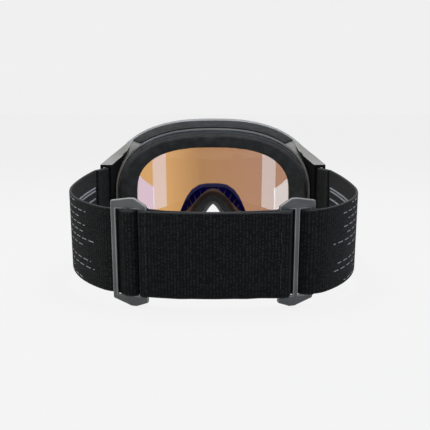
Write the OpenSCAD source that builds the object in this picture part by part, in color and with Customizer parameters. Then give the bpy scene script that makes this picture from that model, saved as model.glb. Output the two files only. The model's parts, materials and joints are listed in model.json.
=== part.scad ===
// Ski goggles: a moulded frame with a curved double lens, face foam, hinged outriggers
// and an elastic strap in two halves that two sliders join at the back. Millimetres, +Z up,
// the lens looks along -Y and the strap lies towards +Y.

/* [Frame] */
// Half width of the frame's outer rim
frame_half_width = 81.5; // [78:0.5:84]
// Height of the rim's top above the base line of its two lower lobes
frame_top = 105.7; // [100:0.2:111]
// Height of the rim's widest place
frame_mid = 47; // [42:0.5:52]
// Squareness of the rim's outline
frame_square = 2.6; // [2.3:0.05:2.9]
// Height of the rim's arch over the nose
nose_peak = 45.5; // [40:0.5:48]
// Half width of the rim's arch over the nose
nose_half = 24; // [20:0.5:28]
// Radius of the lens and of the rim across the face
lens_radius = 110; // [104:1:120]
// Depth of the rim, front to back
rim_depth = 8.6; // [8:0.1:10]
// Width of the lip in front of the lens
rim_lip = 4; // [3.2:0.1:5]
// Wall of the rim outside the lens
rim_wall = 1.8; // [1.4:0.1:2.2]
// Step from the rim down to the side wall
rim_step = 2.6; // [2.2:0.1:3]

/* [Face frame and foam] */
// Step in from the rim to the face frame at the sides
face_inset = 8.2; // [7.6:0.1:10]
// Drop from the rim's top to the face frame's top
face_drop = 8.1; // [7:0.1:10]
// Radius of the face frame across the face
face_radius = 140; // [130:1:160]
// Distance of the face frame behind the lens at the middle
frame_depth = 32; // [29:0.5:36]
// Thickness of the face frame
face_thick = 1.8; // [1.4:0.1:2.4]
// Height of the bead along the face frame's edge
face_bead = 0.8; // [0.5:0.1:1.2]
// Height of the face frame's arch over the nose
face_nose_peak = 39.5; // [36:0.5:42]
// Width of the foam at the sides of the opening
foam_side = 15.9; // [13:0.1:17]
// Height of the foam over the opening
foam_brow = 13.9; // [12:0.1:16]
// Height of the opening's edge over the nose
eye_nose_peak = 52.4; // [50:0.2:54]
// Thickness of the base foam
base_foam = 7; // [5:0.5:9]
// Thickness of the middle foam
mid_foam = 6; // [4:0.5:8]
// Thickness of the fleece against the face
fleece = 2; // [1.5:0.25:3]

/* [Lens] */
// Thickness of the outer lens
outer_lens_thick = 1.4; // [1:0.1:1.8]
// Thickness of the inner lens
inner_lens_thick = 1; // [0.8:0.1:1.4]
// Air gap between the two lenses
lens_gap = 4; // [3:0.5:5]
// Width of the gasket between the two lenses
gasket_width = 4.2; // [3.4:0.2:6]

/* [Vents] */
// Half length of the top vent
vent_half = 66; // [56:1:67]
// Number of windows under the top vent foam
vent_windows = 6; // [4:1:8]
// Width of the ribs between the vent windows
vent_rib = 2.6; // [2:0.2:4]
// Thickness of the vent foam
vent_foam = 1.3; // [0.8:0.1:1.6]

/* [Outriggers] */
// Distance of the outrigger's inner face in from the rim's edge
arm_inset = 5.9; // [5.5:0.1:6.2]
// Width of the outrigger
arm_width = 8.8; // [8.4:0.1:9.6]
// Height of the outrigger's back end
arm_height = 55.4; // [54.6:0.2:60]
// Length of the outrigger ahead of its back end
arm_length = 13.2; // [13:0.1:14]
// Pitch of the outrigger's top facet, up towards the rim, in degrees
arm_pitch = 27; // [24:1:30]
// Lean of the top facet in towards the lens, in degrees
arm_lean = 29; // [26:1:31]
// Diameter of the hinge pin
hinge_pin = 2.6; // [2.2:0.1:3]
// Outer diameter of the hinge knuckle on the frame
hinge_knuckle = 5; // [4.6:0.1:5.2]
// Height of the hinge knuckle on the frame
knuckle_height = 24; // [18:1:30]
// Diameter of the bar that carries the strap
strap_bar = 2.4; // [2:0.1:2.6]

/* [Strap] */
// Width of the webbing
strap_width = 50; // [46:0.5:50.5]
// Thickness of the webbing
strap_thick = 1.6; // [1.4:0.05:1.7]
// Bulge of the strap loop beyond the rim at its widest
loop_bulge = 10.5; // [8.5:0.1:13]
// Length of the strap loop behind the outriggers
loop_length = 141; // [132:1:150]
// Radius of the strap across the back
back_radius = 152; // [138:2:170]
// Radius of the strap at the sides
side_radius = 76; // [72:1:80]
// Radius of the bend next to the sliders
bend_radius = 18; // [14:1:22]
// Length of the doubled end sewn behind the outrigger
sewn_end = 16; // [13:0.5:20]
// Height of the silicone lines inside the strap
grip_height = 0.5; // [0.3:0.1:0.8]
// Width of the silicone lines inside the strap
grip_width = 1; // [0.8:0.1:1.4]

/* [Sliders] */
// Turn of the slider from straight across the back, in degrees
slider_turn = 14; // [12:0.5:16]
// Width of each of the slider's bars
slider_bar = 2.8; // [2.6:0.1:3.2]
// Width of each of the slider's slots
slider_slot = 6.3; // [6:0.1:7]
// Thickness of the slider
slider_thick = 2.2; // [2:0.1:2.6]
// Height of the slider at its middle
slider_height = 63.6; // [61:0.2:66]
// Width of the slider's rails beyond the strap at its outer bars
slider_rail = 2.1; // [1.8:0.1:3]

/* [Fits] */
// Clearance around the webbing
strap_clear = 0.1; // [0.05:0.05:0.15]
// Radial clearance of a turning pin
pin_clear = 0.05; // [0.03:0.01:0.08]
// Clearance between the outrigger and the frame
arm_clear = 0.6; // [0.5:0.1:0.8]
// Clearance of the lens at the edge of its groove
lens_clear = 0.2; // [0.1:0.05:0.3]
// Bond line between pieces that are glued, sewn or moulded together
bond_line = 0.1; // [0.08:0.02:0.16]

/* [Hidden] */

stations = 104;
samples = 360;
eps = 0.01;
far = 200;

// Outline of each ring: half width, top, height of the widest place, base line before the nose
// lifts it, squareness, height over the nose, half width and sharpness of the nose arch.
rim_base = -5.6;
face_half_width = frame_half_width - face_inset;
face_top = frame_top - face_drop;
eye_half_width = face_half_width - foam_side;
eye_top = face_top - foam_brow;
rim_shape = [frame_half_width, frame_top, frame_mid, rim_base, frame_square,
    nose_peak, nose_half, 4.6];
face_shape = [face_half_width, face_top, frame_mid + 2, rim_base + 7, 2.48,
    face_nose_peak, 14.8, 1.7];
eye_shape = [eye_half_width, eye_top, frame_mid, rim_base + 15, 2.8,
    eye_nose_peak, 25.5, 2.1];

function power(v, e) = pow(abs(v), e);
function outline_at(o, a) =
    let(x = o[0] * power(sin(a), 2 / o[4]), c = power(cos(a), 2 / o[4]),
        nose = 1 / (1 + pow(x / o[6], o[7])))
    [x, a <= 90 ? o[2] + (o[1] - o[2]) * c
        : o[2] - c * (o[2] - o[3] - (o[5] - o[3]) * nose)];
function half_curve(o) = [for (i = [0:samples]) outline_at(o, 180 * i / samples)];
function run_lengths(p) =
    [for (i = 0, s = 0; i < len(p); i = i + 1,
        s = i < len(p) ? s + norm(p[i] - p[i - 1]) : s) s];
function column(p, s, k) = [for (i = [0:len(p) - 1]) [s[i], p[i][k]]];
// The ring's stations, evenly spaced, from the top middle round by +X.
function ring_points(o) =
    let(p = half_curve(o), s = run_lengths(p), xs = column(p, s, 0), zs = column(p, s, 1),
        last = s[samples], half = stations / 2)
    [for (k = [0:stations - 1]) let(m = k <= half ? k : stations - k, at = last * m / half)
        [(k <= half ? 1 : -1) * lookup(at, xs), lookup(at, zs)]];
function ring_normals(p) =
    [for (k = [0:stations - 1]) let(a = p[(k + stations - 1) % stations], b = p[(k + 1) % stations],
        t = (b - a) / norm(b - a)) [-t[1], t[0]]];

raw_rim = ring_points(rim_shape);
floor_z = min([for (p = raw_rim) p[1]]);
function lowered(p) = [for (q = p) [q[0], q[1] - floor_z]];
rim = lowered(raw_rim);
face = lowered(ring_points(face_shape));
eye = lowered(ring_points(eye_shape));
rim_n = ring_normals(rim);
face_n = ring_normals(face);
eye_n = ring_normals(eye);

lens_front = -62;
lens_axis = lens_front + lens_radius;
face_axis = lens_front + frame_depth + face_radius;
function lens_y(x) = lens_axis - sqrt(lens_radius * lens_radius - x * x);
function face_y(x) = face_axis - sqrt(face_radius * face_radius - x * x);

// A point off one of the three rings: n outwards along the outline, dy backwards.
function off_rim(k, n, dy) = let(p = rim[k] + n * rim_n[k]) [p[0], lens_y(p[0]) + dy, p[1]];
function off_face(k, n, dy) = let(p = face[k] + n * face_n[k]) [p[0], face_y(p[0]) + dy, p[1]];
function off_eye(k, n, dy) = let(p = eye[k] + n * eye_n[k]) [p[0], face_y(p[0]) + dy, p[1]];

lens_pack = outer_lens_thick + lens_gap + inner_lens_thick + 2 * bond_line;
lip_thick = 1.5;

// A skin through a list of sections that all have the same number of points.
module loft(sections, closed) {
    n = len(sections[0]);
    m = len(sections);
    spans = closed ? m : m - 1;
    polyhedron(
        [for (s = sections) each s],
        concat(
            [for (i = [0:spans - 1], j = [0:n - 1]) let(a = i * n + j, b = i * n + (j + 1) % n,
                c = (i + 1) % m * n + (j + 1) % n, d = (i + 1) % m * n + j)
                each [[a, c, b], [a, d, c]]],
            closed ? [] : [[for (j = [0:n - 1]) j],
                [for (j = [n - 1:-1:0]) (m - 1) * n + j]]));
}

function wall_top(k) = off_rim(k, -rim_step, rim_depth);
function wall_foot(k) = off_face(k, 0, -face_thick);
function frame_section(k) = [
    off_rim(k, -rim_lip, -lip_thick), off_rim(k, -0.9, -lip_thick), off_rim(k, 0, -lip_thick / 3),
    off_rim(k, 0, rim_depth), wall_top(k), wall_foot(k),
    off_face(k, -rim_wall, -face_thick), off_rim(k, -rim_lip, rim_depth),
    off_rim(k, -rim_lip, lens_pack), off_rim(k, -rim_wall, lens_pack),
    off_rim(k, -rim_wall, 0), off_rim(k, -rim_lip, 0)];

// The mounts of the outriggers and their hinges.
arm_in = frame_half_width - arm_inset;
arm_mid = arm_in + arm_width / 2;
arm_out = arm_in + arm_width;
strap_z = 43;
arm_top = strap_z + arm_height / 2;
hinge_y = -arm_length + hinge_knuckle / 2 + 0.2;
mount_y = -arm_length - arm_clear;
// The top facet climbs and leans as it runs forward.
function arm_rise(y) = -y * tan(arm_pitch);
function facet_shift(y) = y * tan(arm_lean);

module plate_at(y, pts) translate([0, y, 0]) rotate([90, 0, 0]) linear_extrude(eps) polygon(pts);

// The outer edge of the outrigger's front face at a height.
arm_front_top = arm_top + arm_rise(-arm_length);
arm_foot = 2 * strap_z - arm_top;
arm_belly = arm_mid + 1.6;
function arm_edge(z) = let(t = abs(z - strap_z) / (arm_front_top - strap_z))
    z > strap_z ? arm_belly + t * (arm_out + facet_shift(-arm_length) - arm_belly) : arm_belly - 2 * t;
// The mount is a wedge moulded behind the rim, between the wall and the outrigger's front. Above
// the outrigger it narrows to the rim, in line with the top facet.
mount_reach = 9.5;
facet_way = [-tan(arm_lean), -1, tan(arm_pitch)];
function mount_section(k) =
    let(off = [0, bond_line, 0], r = off_rim(k, -0.25, rim_depth) + off,
        a = on_wall(k, 0, bond_line) + off, b = on_wall(k, 1, bond_line) + off,
        high = max(0, (r[2] - arm_front_top) / mount_reach), z = min(r[2], arm_front_top),
        q = high > 0 ? 0.5 - 0.4 * high : min(0.6, max(0.3, (mount_y - a[1]) / (b[1] - a[1]))),
        root = a + q * (b - a), back = mount_y - 0.3 * high,
        x = high > 0 ? arm_edge(z) - 0.2 * high : min(arm_edge(z), r[0] + 3),
        inner = [max(root[0], x - 8) + 0.4, back, z])
    [r, a, root, inner + (high > 0 ? min(1, 0.4 + high) * 4.6 * facet_way : 0.35 * (root - inner)),
        inner, [x, back, z]];
mount_from = min([for (k = [0:stations / 2]) if (rim[k][1] < arm_front_top + mount_reach) k]);
mount_to = max([for (k = [0:stations / 2])
    if (rim[k][1] > arm_foot + 4 && rim[k][0] > frame_half_width / 2 + nose_half) k]);
module outrigger_mount() {
    loft([for (k = [mount_from:mount_to]) mount_section(k)], false);
    translate([arm_mid, hinge_y, strap_z])
        cylinder(d = hinge_knuckle, h = knuckle_height, center = true, $fn = 48);
    translate([arm_mid - hinge_knuckle / 2, mount_y - 1, strap_z - knuckle_height / 2])
        cube([hinge_knuckle / 2 + 1.4, hinge_y - mount_y + 1, knuckle_height]);
}

pin_length = strap_width - 2.6;
bar_length = strap_width + 3.2;
function on_ring(k) = (k + stations) % stations;
function on_wall(k, q, up = 0) = let(m = on_ring(k), a = wall_top(m), b = wall_foot(m),
    n = rim_n[m]) a + q * (b - a) + up * [n[0], 0, n[1]];
// A place on the wall between stations, seen from above, and the outline of one window.
function in_plan(s, q) = let(k = floor(s), p = on_wall(k, q) + (s - k) * (on_wall(k + 1, q)
    - on_wall(k, q))) [p[0], p[1]];
function window(s1, s2) = concat(
    [for (i = [0:6]) in_plan(s1 + (s2 - s1) * i / 6, 0.16)],
    [for (i = [6:-1:0]) in_plan(s1 + (s2 - s1) * i / 6, 0.78)]);
vent_reach = len([for (k = [0:stations / 4]) if (rim[k][0] < vent_half) k]) - 1;
rib_share = vent_rib / norm(rim[1] - rim[0]);
vent_pitch = (2 * vent_reach - 1 + rib_share) / vent_windows;
low_vent_top = 20;
low_vent_out = frame_half_width - 19.5;
low_vent_in = frame_half_width - 43.5;
low_from = min([for (k = [0:stations / 2])
    if (rim[k][1] < low_vent_top && rim[k][0] < low_vent_out) k]);
low_to = max([for (k = [0:stations / 2])
    if (rim[k][1] < low_vent_top && rim[k][0] > low_vent_in) k]);

module front_frame() placed() color("#4c4e52") difference() {
    loft([for (k = [0:stations - 1]) frame_section(k)], true);
    for (i = [0:vent_windows - 1]) let(a = 0.5 - vent_reach + i * vent_pitch)
        translate([0, 0, frame_mid + 16]) linear_extrude(far)
            polygon(window(a, a + vent_pitch - rib_share));
    for (a = [low_from + 0.5, stations - low_to + 0.5]) translate([0, 0, -1])
        linear_extrude(24) polygon(window(a, a + low_to - low_from - 1));
}
face_front = -face_thick + bond_line;
function flange_out(k) = off_face(k, -1.2, 0);
function flange_in(k) = off_eye(k, 1.5, 0);
module mount() color("#606266") difference() {
    outrigger_mount();
    translate([arm_mid, hinge_y, strap_z])
        cylinder(d = hinge_pin, h = far, center = true, $fn = 48);
}
module left_mount() placed() mount();
module right_mount() placed() mirror([1, 0, 0]) mount();

module face_frame() placed() color("#5b5d61")
    loft([for (k = [0:stations - 1]) [off_face(k, 0.9, face_front), off_face(k, 0.9, face_bead),
        off_face(k, -0.6, face_bead), flange_out(k), flange_in(k),
        off_eye(k, 1.5, face_front)]], true);

module lens_outline(inset) polygon([for (k = [0:stations - 1]) rim[k] - inset * rim_n[k]]);
module lens_shell(front, thick) intersection() {
    translate([0, far / 2, 0]) rotate([90, 0, 0]) linear_extrude(far)
        lens_outline(rim_wall + lens_clear);
    difference() {
        translate([0, lens_axis + front, -1]) cylinder(r = lens_radius, h = far, $fn = 360);
        translate([0, lens_axis + front + thick, -2])
            cylinder(r = lens_radius, h = far + 2, $fn = 360);
        translate([-far, 20, -far]) cube(2 * far);
    }
}
module outer_lens() placed() color("#c08a5a") lens_shell(bond_line, outer_lens_thick);
module inner_lens() placed() color("#c89468")
    lens_shell(lens_pack - bond_line - inner_lens_thick, inner_lens_thick);
module lens_gasket() placed() color("#101058")
    loft([for (k = [0:stations - 1]) let(a = -rim_wall - 0.4, b = a - gasket_width,
        f = outer_lens_thick + 2 * bond_line, r = outer_lens_thick + lens_gap)
        [off_rim(k, b, f), off_rim(k, a, f), off_rim(k, a, r), off_rim(k, b, r)]], true);

// The foam tapers from the face frame to the face: how far it has come in at depth d.
foam_depth = base_foam + mid_foam + fleece;
function foam_outer(k, d) = off_face(k, -1.2 - 3.4 * pow(d / foam_depth, 2), d);
function foam_inner(k, d) = off_eye(k, 1.5 - 1.5 * d / foam_depth, d);
module foam_ring(from, to) loft([for (k = [0:stations - 1])
    [foam_outer(k, from + bond_line), foam_outer(k, to), foam_inner(k, to),
        foam_inner(k, from + bond_line)]], true);
module base_foam_ring() placed() color("#2a2a2c") foam_ring(0, base_foam);
module mid_foam_ring() placed() color("#333335") foam_ring(base_foam, base_foam + mid_foam);
module fleece_ring() placed() color("#3d3d40") foam_ring(base_foam + mid_foam, foam_depth);

// A strip of foam that lies on the frame's wall, between two stations.
module wall_strip(k1, k2) loft([for (k = [k1:k2])
    [on_wall(k, 0.02, bond_line), on_wall(k, 0.9, bond_line),
    on_wall(k, 0.9, vent_foam), on_wall(k, 0.02, vent_foam)]], false);
module top_vent_foam() placed() color("#1c1c1e") wall_strip(-vent_reach, vent_reach);
module bottom_vent_foam() placed() color("#1c1c1e") {
    wall_strip(low_from, low_to);
    wall_strip(stations - low_to, stations - low_from);
}

// The outrigger: a hollow box on the hinge, open behind for the strap.
slot_wide = strap_bar + 2 * (strap_thick + 2 * strap_clear);
bar_y = -1.8 - slot_wide / 2 + 1;
module outrigger_outside() hull() {
    plate_at(0, [[arm_in, arm_foot], [arm_out, arm_foot], [arm_out, arm_top], [arm_in, arm_top]]);
    plate_at(3 - arm_length, [[arm_in + 0.2, arm_foot], [arm_out - 0.8, arm_foot + 4],
        [arm_out - 0.3, strap_z], [arm_out - 1.6, arm_top - 8]]);
    plate_at(-arm_length, [[arm_in + 1.8, arm_foot + 3], [arm_edge(arm_foot), arm_foot + 3],
        [arm_belly, strap_z], [arm_edge(arm_front_top), arm_front_top],
        [arm_in + facet_shift(-arm_length), arm_front_top]]);
}
// The room that the outrigger leaves to the face frame, straight through from front to back.
module beside_face() translate([0, far / 2, 0]) rotate([90, 0, 0]) linear_extrude(far)
    polygon([for (k = [0:stations - 1]) face[k] + (0.9 + arm_clear) * face_n[k]]);
module outrigger() color("#7d7f83") difference() {
    outrigger_outside();
    beside_face();
    translate([arm_mid - slot_wide / 2, -8.4, strap_z - strap_width / 2 - 0.6])
        cube([slot_wide, far, strap_width + 1.2]);
    translate([arm_mid, hinge_y, strap_z - knuckle_height / 2 - 0.3]) {
        cylinder(r = hinge_knuckle / 2 + arm_clear, h = knuckle_height + 0.6, $fn = 48);
        translate([-hinge_knuckle / 2 - arm_clear, -far, 0])
            cube([hinge_knuckle + 2 * arm_clear, far, knuckle_height + 0.6]);
    }
    translate([arm_mid, hinge_y, strap_z])
        cylinder(r = hinge_pin / 2 + pin_clear, h = pin_length + 0.2, center = true, $fn = 48);
    translate([arm_mid, bar_y, strap_z])
        cylinder(d = strap_bar, h = bar_length, center = true, $fn = 36);
}
module left_outrigger() placed() outrigger();
module right_outrigger() placed() mirror([1, 0, 0]) outrigger();

module hinge_rod() color("#9a9ca0") translate([arm_mid, hinge_y, strap_z])
    cylinder(d = hinge_pin, h = pin_length, center = true, $fn = 48);
module left_hinge_pin() placed() hinge_rod();
module right_hinge_pin() placed() mirror([1, 0, 0]) hinge_rod();
module bar_rod() color("#6a6c70") translate([arm_mid, bar_y, strap_z])
    cylinder(d = strap_bar, h = bar_length, center = true, $fn = 36);
module left_strap_bar() placed() bar_rod();
module right_strap_bar() placed() mirror([1, 0, 0]) bar_rod();

// Flat webbing along a path in plan, strap_width high.
function side_points(p, h) = [for (i = [0:len(p) - 1]) let(a = p[max(i - 1, 0)],
    b = p[min(i + 1, len(p) - 1)], t = (b - a) / norm(b - a)) p[i] + h * [-t[1], t[0]]];
function turned_round(p) = [for (i = [len(p) - 1:-1:0]) p[i]];
module webbing(p, thick = strap_thick, high = strap_width) linear_extrude(high, center = true)
    polygon(concat(side_points(p, thick / 2), turned_round(side_points(p, -thick / 2))));
function arc_path(c, r, a1, a2, n) =
    [for (i = [0:n]) let(a = a1 + (a2 - a1) * i / n) c + r * [cos(a), sin(a)]];

// The loop's path in the strap's own plane, whose origin is the end of the sewn part.
wide_x = frame_half_width + loop_bulge - strap_thick / 2;
leg_r = strap_bar / 2 + strap_clear + strap_thick / 2;
leg_x = arm_mid + leg_r;
over = slider_thick / 2 + strap_clear + strap_thick / 2;
over_two = over + strap_thick + strap_clear;
slider_half = 1.5 * slider_bar + slider_slot;
back_y = loop_length - sewn_end;
layer = strap_thick / 2 + strap_clear / 2;
inner_end = back_radius * [sin(slider_turn), cos(slider_turn)] + [0, back_y - back_radius];
along = [cos(slider_turn), -sin(slider_turn)];
outward = [sin(slider_turn), cos(slider_turn)];
slider_at = inner_end + slider_half * along;
// The side strap: v is its place over (+) or under (-) the slider's outer bar.
function bend_centre(v) = inner_end + 2 * slider_half * along + (v - bend_radius) * outward;
function bend_angle(v) = acos((bend_centre(v)[0] - wide_x + side_radius)
    / (side_radius - bend_radius));
function wide_y(v) = bend_centre(v)[1] - (side_radius - bend_radius) * sin(bend_angle(v));
function lead_radius(v) = let(dx = wide_x - leg_x, dy = wide_y(v) + sewn_end)
    (dx * dx + dy * dy) / (2 * dx);
// The strap droops until the lowest corners of the sliders stand on the floor.
// The slider's rails are not even: each rises to a tip on the inner side of the middle.
slider_tips = [-3.6, -0.4];
slider_shoulder = 1.8;
slider_heel = 2.6;
droop = let(h = slider_height / 2,
        y = slider_at[1] + slider_thick / 2 * outward[1] + slider_tips[0] * along[1])
    asin(strap_z / norm([y, h])) - atan2(h, y);

// The part stands centred in plan: its front is the rim's lip and its back the outer layer.
front_y = lens_front - lip_thick;
rear_y = sewn_end + (back_y + layer + strap_thick / 2) * cos(droop)
    + strap_width / 2 * sin(droop);
module placed() translate([0, -(front_y + rear_y) / 2, 0]) children();

module strap_plane() translate([0, sewn_end, strap_z]) rotate([-droop, 0, 0]) children();

// The side strap's path: a long arc from the seam, the side, and the bend to the slider.
function side_path(v, inset = 0) =
    let(r1 = lead_radius(v), start = -asin((wide_y(v) + 4) / r1), bend = bend_angle(v))
    concat(arc_path([wide_x - r1, wide_y(v)], r1 - inset, start, 0, 12),
        arc_path([wide_x - side_radius, wide_y(v)], side_radius - inset, bend / 16, bend, 15),
        arc_path(bend_centre(v), bend_radius - inset, bend + 2, 90 - slider_turn, 10));

module ahead_of_seam() translate([-far, sewn_end - far, -far / 2]) cube([2 * far, far, 2 * far]);
module side_strap(v) color("#232325") difference() {
    strap_plane() webbing(side_path(v));
    ahead_of_seam();
}
module left_side_strap() placed() side_strap(-over);
module right_side_strap() placed() mirror([1, 0, 0]) side_strap(over);

grip_at = [12.6, 10.4, 4.6, -4.6, -10.4, -12.6];
module grip_lines(v) color("#a9abb0") difference() {
    strap_plane() for (z = grip_at) translate([0, 0, z])
        webbing(side_path(v, strap_thick / 2 + grip_height / 2), grip_height, grip_width);
    ahead_of_seam();
    translate([0, 3, 0]) ahead_of_seam();
}
module left_grip_lines() placed() grip_lines(-over);
module right_grip_lines() placed() mirror([1, 0, 0]) grip_lines(over);

// The end of the strap round the outrigger's bar: out along the strap, round, and back.
function lead_points(n) = let(r = lead_radius(0), c = [wide_x - r, wide_y(0) + sewn_end],
    a1 = -asin(c[1] / r), a2 = -asin((c[1] - sewn_end - strap_thick) / r))
    arc_path(c, r, a1, a2, n);
module strap_loop() color("#28282a") translate([0, 0, strap_z]) difference() {
    lead = lead_points(8);
    inner = side_points(lead, strap_thick + bond_line);
    webbing(concat([for (i = [8:-1:4]) inner[i]],
        arc_path([arm_mid, bar_y], leg_r, 170, 360, 20), lead));
    translate([-far, sewn_end - bond_line, -far / 2]) cube([2 * far, far, far]);
}
module left_strap_loop() placed() strap_loop();
module right_strap_loop() placed() mirror([1, 0, 0]) strap_loop();

// The slider, flat in its own plane: X outwards, Y off the head, Z up.
module at_slider() strap_plane() translate([slider_at[0], slider_at[1], 0])
    rotate([0, 0, -slider_turn]) children();
module slider_face() {
    h = slider_height / 2;
    e = strap_width / 2 + 0.5 + slider_rail;
    difference() {
        offset(r = 1.2, $fn = 32) offset(delta = -1.2)
            polygon([[-slider_half, slider_heel - h], [slider_tips[0], -h], [slider_tips[1], -h],
                [slider_half, -e], [slider_half, h - slider_shoulder], [slider_tips[1], h],
                [slider_tips[0], h], [-slider_half, e]]);
        for (x = [slider_bar / 2, -slider_bar / 2 - slider_slot])
            translate([x, -strap_width / 2 - 0.5]) square([slider_slot, strap_width + 1]);
    }
}
module slider() color("#55575b") at_slider() rotate([90, 0, 0])
    linear_extrude(slider_thick, center = true) slider_face();
module left_slider() placed() slider();
module right_slider() placed() mirror([1, 0, 0]) slider();

// From one level to another through a slot: two bends of radius r and a straight between.
function s_bend(p, q, r) = let(dx = p[0] - q[0], up = q[1] > p[1] ? 1 : -1,
    rise = abs(q[1] - p[1]) - 2 * r, d = norm([dx, rise]),
    a = atan2(rise, dx) + asin(2 * r / d))
    concat([for (i = [0:8]) p + [-r * sin(a * i / 8), up * r * (1 - cos(a * i / 8))]],
        [for (i = [8:-1:0]) q + [r * sin(a * i / 8), -up * r * (1 - cos(a * i / 8))]]);
bar_edge = slider_bar / 2 + slider_slot;
loop_x = -bar_edge - 0.5;
function weave_path(s) = concat([[slider_half - bond_line, -s * over]],
    s_bend([bar_edge - 0.2, -s * over], [slider_bar / 2 + 0.2, s * over], 1.2),
    s_bend([-slider_bar / 2 - 0.2, s * over], [loop_x + 1.8, -s * over_two], 1.2),
    [[bond_line - slider_half, -s * over_two]]);
module left_slider_weave() placed() color("#28282a") at_slider() webbing(weave_path(1));
module right_slider_weave() placed() color("#28282a") mirror([1, 0, 0]) at_slider()
    webbing(weave_path(-1));

// The two layers across the back, and how far each stands off the middle surface.
tail = 16;
easing = 12;
function smooth(t) = let(c = min(max(t, 0), 1)) c * c * (3 - 2 * c);
wide_layer = layer + strap_thick / 2 + strap_clear / 2;
function stand_off(s, end) = s < tail + 2 ? end + (wide_layer - end) * smooth(s / easing)
    : wide_layer + (layer - wide_layer) * smooth((s - tail - 2) / 8);
function back_point(s, v) = let(a = slider_turn - s / back_radius * 180 / PI)
    [0, back_y - back_radius] + (back_radius + v) * [sin(a), cos(a)];
back_run = 2 * slider_turn * PI / 180 * back_radius;
function back_path(side, left_end, right_end) = concat(
    [for (i = [1, 2]) back_point(i * bond_line, side * left_end)],
    [for (i = [1:47]) let(s = back_run * i / 48, t = back_run - s)
        back_point(s, side * (s < t ? stand_off(s, left_end) : stand_off(t, right_end)))],
    [for (i = [2, 1]) back_point(back_run - i * bond_line, side * right_end)]);
module rear_strap_outer() placed() color("#1f1f21") strap_plane() webbing(back_path(1, over, over_two));
module rear_strap_inner() placed() color("#262628") strap_plane() webbing(back_path(-1, over_two, over));

// The sewn end of a layer: over the slider's inner bar, round it, and a tail back below.
module end_loop(s) color("#1f1f21") {
    at_slider() webbing(concat([[-slider_half, s * over]],
        [for (i = [0:12]) let(a = 90 - 15 * i) [loop_x + over * cos(a), s * over * sin(a)]],
        [[-slider_half, -s * over]]));
    strap_plane() webbing([for (i = [0:16]) let(t = tail * i / 16)
        back_point(t, -s * over * (1 - smooth(t / easing)))]);
}
module left_end_loop() placed() end_loop(1);
module right_end_loop() placed() mirror([1, 0, 0]) end_loop(-1);

front_frame();
face_frame();
outer_lens();
inner_lens();
lens_gasket();
base_foam_ring();
mid_foam_ring();
fleece_ring();
top_vent_foam();
bottom_vent_foam();
left_mount();
right_mount();
left_outrigger();
right_outrigger();
left_hinge_pin();
right_hinge_pin();
left_strap_bar();
right_strap_bar();
left_strap_loop();
right_strap_loop();
left_side_strap();
right_side_strap();
left_grip_lines();
right_grip_lines();
left_slider();
right_slider();
left_slider_weave();
right_slider_weave();
rear_strap_inner();
rear_strap_outer();
left_end_loop();
right_end_loop();
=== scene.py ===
import json
import math
import bpy
from mathutils import Matrix, Quaternion, Vector
from mathutils.bvhtree import BVHTree
from mathutils.kdtree import KDTree

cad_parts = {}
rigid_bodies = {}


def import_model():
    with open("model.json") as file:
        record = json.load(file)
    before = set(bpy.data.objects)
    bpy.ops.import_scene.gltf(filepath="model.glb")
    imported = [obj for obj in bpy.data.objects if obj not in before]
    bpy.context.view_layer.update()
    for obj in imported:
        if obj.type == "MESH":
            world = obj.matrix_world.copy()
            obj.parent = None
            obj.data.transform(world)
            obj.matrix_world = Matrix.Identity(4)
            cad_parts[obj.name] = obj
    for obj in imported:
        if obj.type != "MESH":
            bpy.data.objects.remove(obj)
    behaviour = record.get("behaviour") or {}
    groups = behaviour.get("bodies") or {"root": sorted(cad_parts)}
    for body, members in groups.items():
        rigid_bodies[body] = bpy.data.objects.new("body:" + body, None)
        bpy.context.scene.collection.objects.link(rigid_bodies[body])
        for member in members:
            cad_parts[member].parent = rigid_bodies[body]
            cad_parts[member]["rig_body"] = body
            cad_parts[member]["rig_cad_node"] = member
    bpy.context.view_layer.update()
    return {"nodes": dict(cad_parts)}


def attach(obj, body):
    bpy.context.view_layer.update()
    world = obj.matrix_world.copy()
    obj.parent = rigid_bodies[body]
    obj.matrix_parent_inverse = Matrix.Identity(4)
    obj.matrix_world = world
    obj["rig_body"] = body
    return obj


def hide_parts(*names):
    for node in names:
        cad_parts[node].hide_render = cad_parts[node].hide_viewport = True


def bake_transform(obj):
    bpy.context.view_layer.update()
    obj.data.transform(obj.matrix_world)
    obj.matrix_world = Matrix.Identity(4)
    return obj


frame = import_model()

mm = 0.001
nodes = frame["nodes"]

# Where things show in the photograph, in pixels of its 430 x 430 frame.
imageSize = 430
imagePoints = {
    "leftmost": (69.4, 190.0), "rightmost": (356.9, 190.0),
    "rimTop": (213.3, 118.2), "sliderFoot": (136.0, 305.3),
    "leftSliderPeak": (130.6, 198.4), "rightSliderPeak": (292.2, 198.0),
    "rightSliderFoot": (288.5, 304.7), "eyeOpeningTop": (214.2, 148.1),
    "noseApex": (213.3, 203.5), "leftArmTop": (101.4, 164.2), "rightArmTop": (326.5, 164.3),
    "rearLayerTop": (213.3, 212.0), "rearLayerFoot": (213.3, 298.2),
    "leftStitches": (143.5, 255.0), "rightStitches": (282.5, 255.0),
}

# The camera stands behind the strap, a little above it, and looks down at the lens.
view = {"at": (0.0, 0.4721, 0.1118), "pitch": 8.78, "yaw": -0.17, "lens": 57.3, "sensor": 36.0}
bpy.ops.object.camera_add(location=view["at"], rotation=(
    math.radians(90 - view["pitch"]), 0, math.radians(180 + view["yaw"])))
camera = bpy.context.object
camera.name = "viewpoint"
camera.data.lens = view["lens"]
camera.data.sensor_width = view["sensor"]
camera.data.sensor_fit = "AUTO"
camera.data.clip_start = 0.01
bpy.context.scene.camera = camera
bpy.context.view_layer.update()
print("camera set")


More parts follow.
